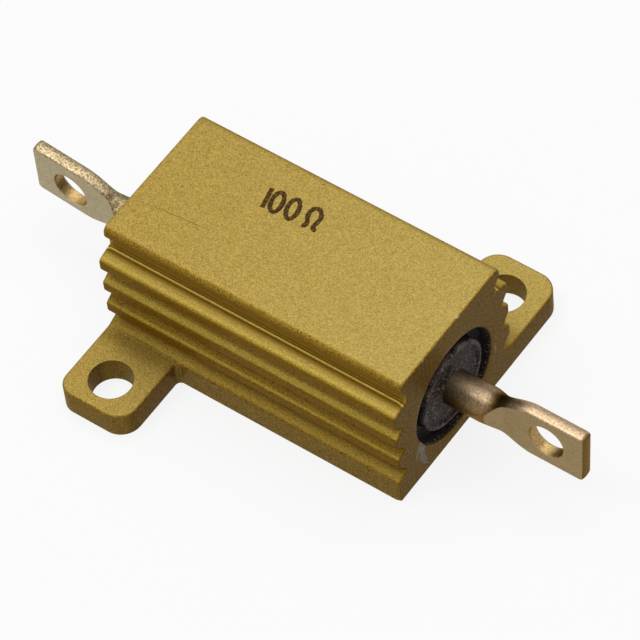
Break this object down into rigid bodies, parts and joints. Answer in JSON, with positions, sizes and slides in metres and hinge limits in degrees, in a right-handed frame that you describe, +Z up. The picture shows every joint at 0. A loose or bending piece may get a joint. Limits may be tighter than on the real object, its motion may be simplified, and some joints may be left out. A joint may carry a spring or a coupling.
{
  "type": "wirewound resistor",
  "caption": "Chassis-mount wirewound power resistor in a finned gold-anodised aluminium housing, with a flat pierced terminal at each end and mounting ears on opposite corners.",
  "frame": {"origin": "centre of the base, on the plane that sits on the chassis", "axes": "+X along the terminals, +Y across the housing towards the ear at the +X end, +Z up from the base"},
  "size_m": [0.0356, 0.02, 0.0095],
  "materials": {
    "gold_anodised_aluminium": "matt gold hard anodised",
    "grey_silicone": "matt moulded",
    "steatite": "matt fired",
    "copper_nickel_wire": "drawn wire",
    "stainless_cap": "drawn",
    "tinned_copper_clad_steel": "tinned, pressed flat"
  },
  "bodies": {
    "root": {"housing": "gold_anodised_aluminium", "encapsulant": "grey_silicone", "ceramic_core": "steatite", "resistance_winding": "copper_nickel_wire", "end_cap_left": "stainless_cap", "end_cap_right": "stainless_cap", "terminal_left": "tinned_copper_clad_steel", "terminal_right": "tinned_copper_clad_steel"}
  },
  "joints": []
}
